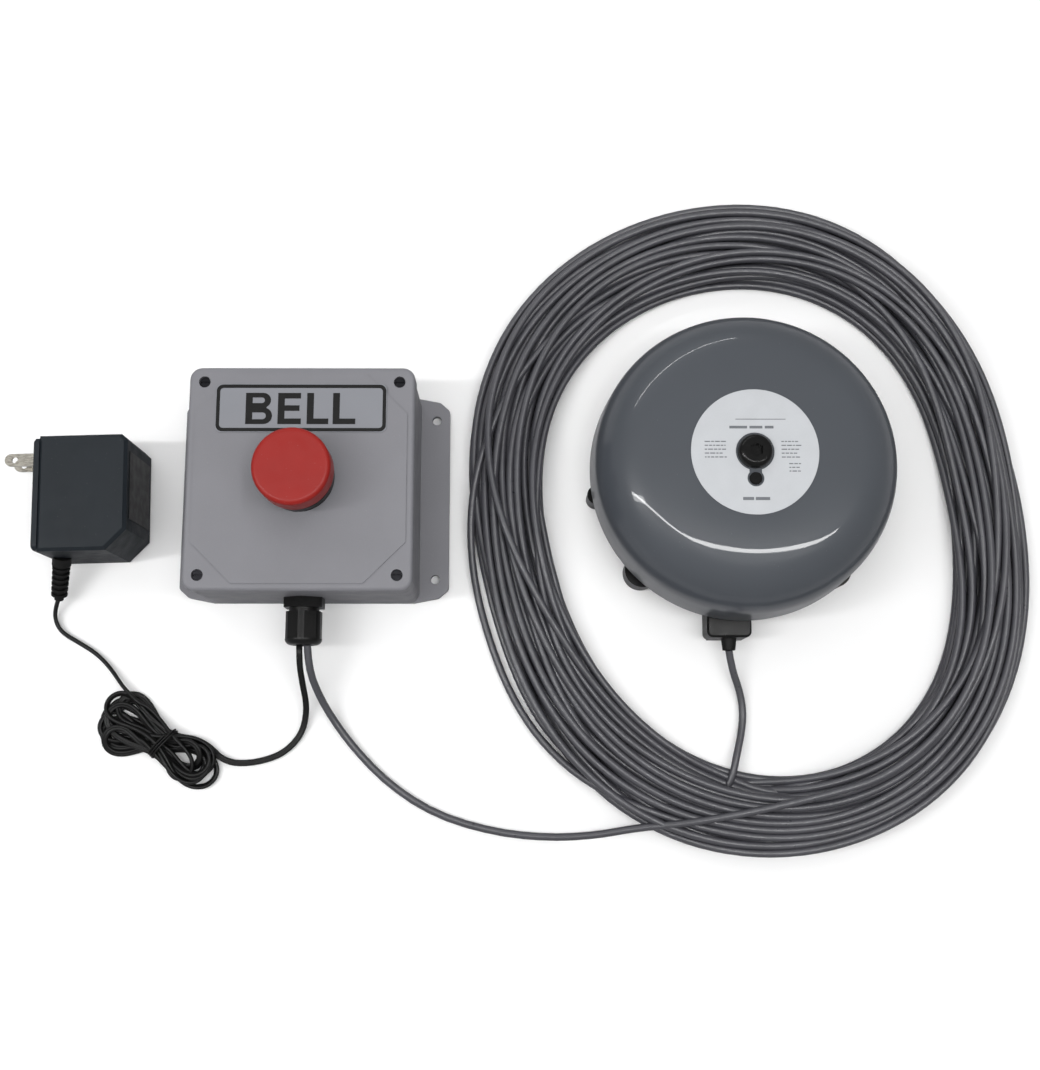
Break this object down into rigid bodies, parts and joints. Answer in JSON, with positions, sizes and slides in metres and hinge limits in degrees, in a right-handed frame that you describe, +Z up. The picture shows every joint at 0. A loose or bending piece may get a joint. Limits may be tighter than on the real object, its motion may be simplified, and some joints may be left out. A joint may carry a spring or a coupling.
{
  "type": "fire alarm bell",
  "caption": "Vibrating fire alarm bell with a grey gong on a black base, wired by a long coil of cable to a grey box with a red push button, and by a tied cord to a plug-in transformer.",
  "frame": {"origin": "middle of the kit's footprint on the surface it lies on, with the cords left out", "axes": "+Z up from the surface, +X from the transformer towards the bell, +Y away from the side where the cords leave"},
  "size_m": [0.5239, 0.348, 0.085],
  "materials": {
    "enclosure_grey": "fine texture",
    "seal_foam": "matt",
    "black_screw": "black oxide",
    "insert_brass": "knurled",
    "legend_plate": "printed",
    "button_red": "satin",
    "operator_black": "satin",
    "zinc_steel": "zinc plated",
    "spring_steel": "drawn",
    "block_plastic": "moulded",
    "contact_metal": "plated",
    "grip_nylon": "satin",
    "grip_rubber": "matt",
    "splice_orange": "ribbed",
    "gong_enamel": "gloss enamel",
    "disc_label": "printed",
    "cap_black": "gloss",
    "base_black": "satin",
    "magnet_iron": "plain",
    "bobbin_nylon": "moulded",
    "copper_wire": "enamelled",
    "adapter_shell": "fine texture",
    "blade_metal": "nickel plated",
    "rating_dark": "printed",
    "cable_grey": "extruded",
    "cord_black": "satin"
  },
  "bodies": {
    "kit": {"enclosure_base": "enclosure_grey", "enclosure_cover": "enclosure_grey", "cover_gasket": "seal_foam", "cover_screws": "black_screw", "cover_screw_inserts": "insert_brass", "legend_label": "legend_plate", "button_bezel": "operator_black", "button_gasket": "seal_foam", "button_lock_nut": "zinc_steel", "button_return_spring": "spring_steel", "contact_block_housing": "block_plastic", "fixed_contacts": "contact_metal", "contact_terminal_screws": "zinc_steel", "cord_grip_body": "grip_nylon", "cord_grip_dome_nut": "grip_nylon", "cord_grip_seal": "grip_rubber", "cord_grip_locknut": "grip_nylon", "wire_splice_caps": "splice_orange", "gong": "gong_enamel", "gong_label": "disc_label", "gong_screw": "cap_black", "gong_post": "zinc_steel", "gong_locating_pin": "cap_black", "bell_base": "base_black", "mechanism_frame": "zinc_steel", "coil_core": "magnet_iron", "coil_bobbin": "bobbin_nylon", "coil_winding": "copper_wire", "armature_pivot_pin": "zinc_steel", "armature_spring": "spring_steel", "mechanism_screws": "zinc_steel", "bell_terminal_block": "block_plastic", "bell_terminal_screws": "zinc_steel", "cable_clamp_body": "base_black", "cable_clamp_screws": "black_screw", "cable_bushing": "grip_rubber", "adapter_case": "adapter_shell", "adapter_face_plate": "adapter_shell", "adapter_blades": "blade_metal", "adapter_core": "magnet_iron", "adapter_bobbin": "bobbin_nylon", "adapter_windings": "copper_wire", "adapter_strain_relief": "grip_rubber", "adapter_rating_label": "rating_dark", "bell_cable_station_lead": "cable_grey", "bell_cable_coil": "cable_grey", "bell_cable_bell_lead": "cable_grey", "supply_cord_station_lead": "cord_black", "supply_cord_hank": "cord_black", "supply_cord_adapter_lead": "cord_black", "supply_cord_tie": "cord_black"},
    "button": {"button_cap": "button_red", "button_stem": "operator_black", "contact_plunger": "block_plastic", "moving_contact_bridge": "contact_metal"},
    "striker": {"armature": "magnet_iron", "striker_rod": "zinc_steel", "striker_ball": "insert_brass"}
  },
  "joints": [
    {"name": "button_press", "type": "slide", "parent": "kit", "child": "button", "axis": [0, 0, -1], "range_m": [0, 0.005], "stiffness_N_per_m": 800, "springref_m": -0.003, "deforming": ["button_return_spring"]},
    {"name": "armature_hinge", "type": "hinge", "parent": "kit", "child": "striker", "pos_m": [0.1905, 0.0215, 0.027], "axis": [0, 0, 1], "range_deg": [-1.5, 2.4], "stiffness_Nm_per_rad": 0.2}
  ]
}
